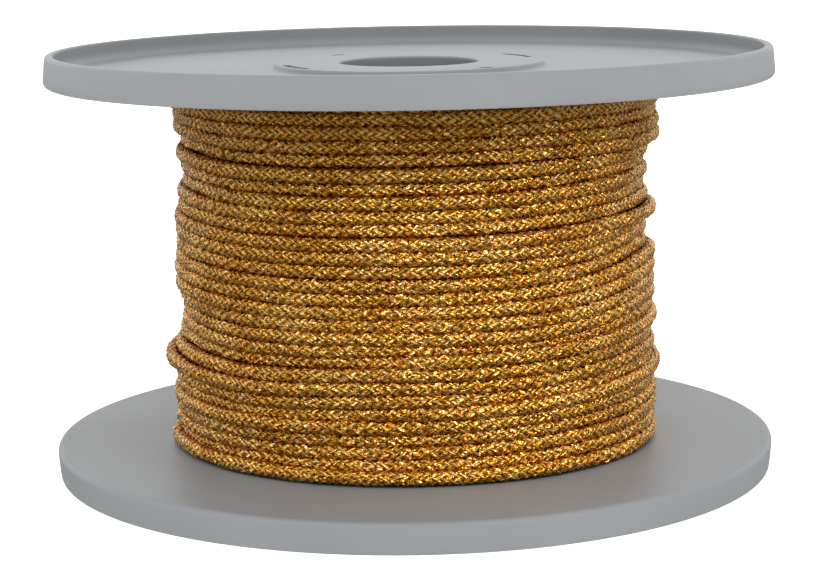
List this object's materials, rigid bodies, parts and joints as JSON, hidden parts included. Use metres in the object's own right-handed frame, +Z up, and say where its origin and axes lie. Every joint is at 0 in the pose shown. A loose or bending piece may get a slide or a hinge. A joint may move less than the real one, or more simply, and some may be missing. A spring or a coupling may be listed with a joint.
{
  "type": "spool of decorative cord",
  "caption": "Upright grey plastic spool with two dished flanges and a through bore, wound full with round braided metallic gold cord.",
  "frame": {"origin": "centre of the circle on which the spool stands, on its axis, at the lowest level", "axes": "+Z up along the spool's axis, -Y towards the viewer of the picture, +X to the right"},
  "size_m": [0.13, 0.13, 0.0755],
  "materials": {
    "spool_plastic": "satin grey moulded plastic",
    "gold_cord": "metallic gold yarn, round braid with fine sparkle"
  },
  "bodies": {
    "root": {"lower_flange": "spool_plastic", "upper_flange": "spool_plastic", "barrel": "spool_plastic", "cord_winding": "gold_cord"}
  },
  "joints": []
}
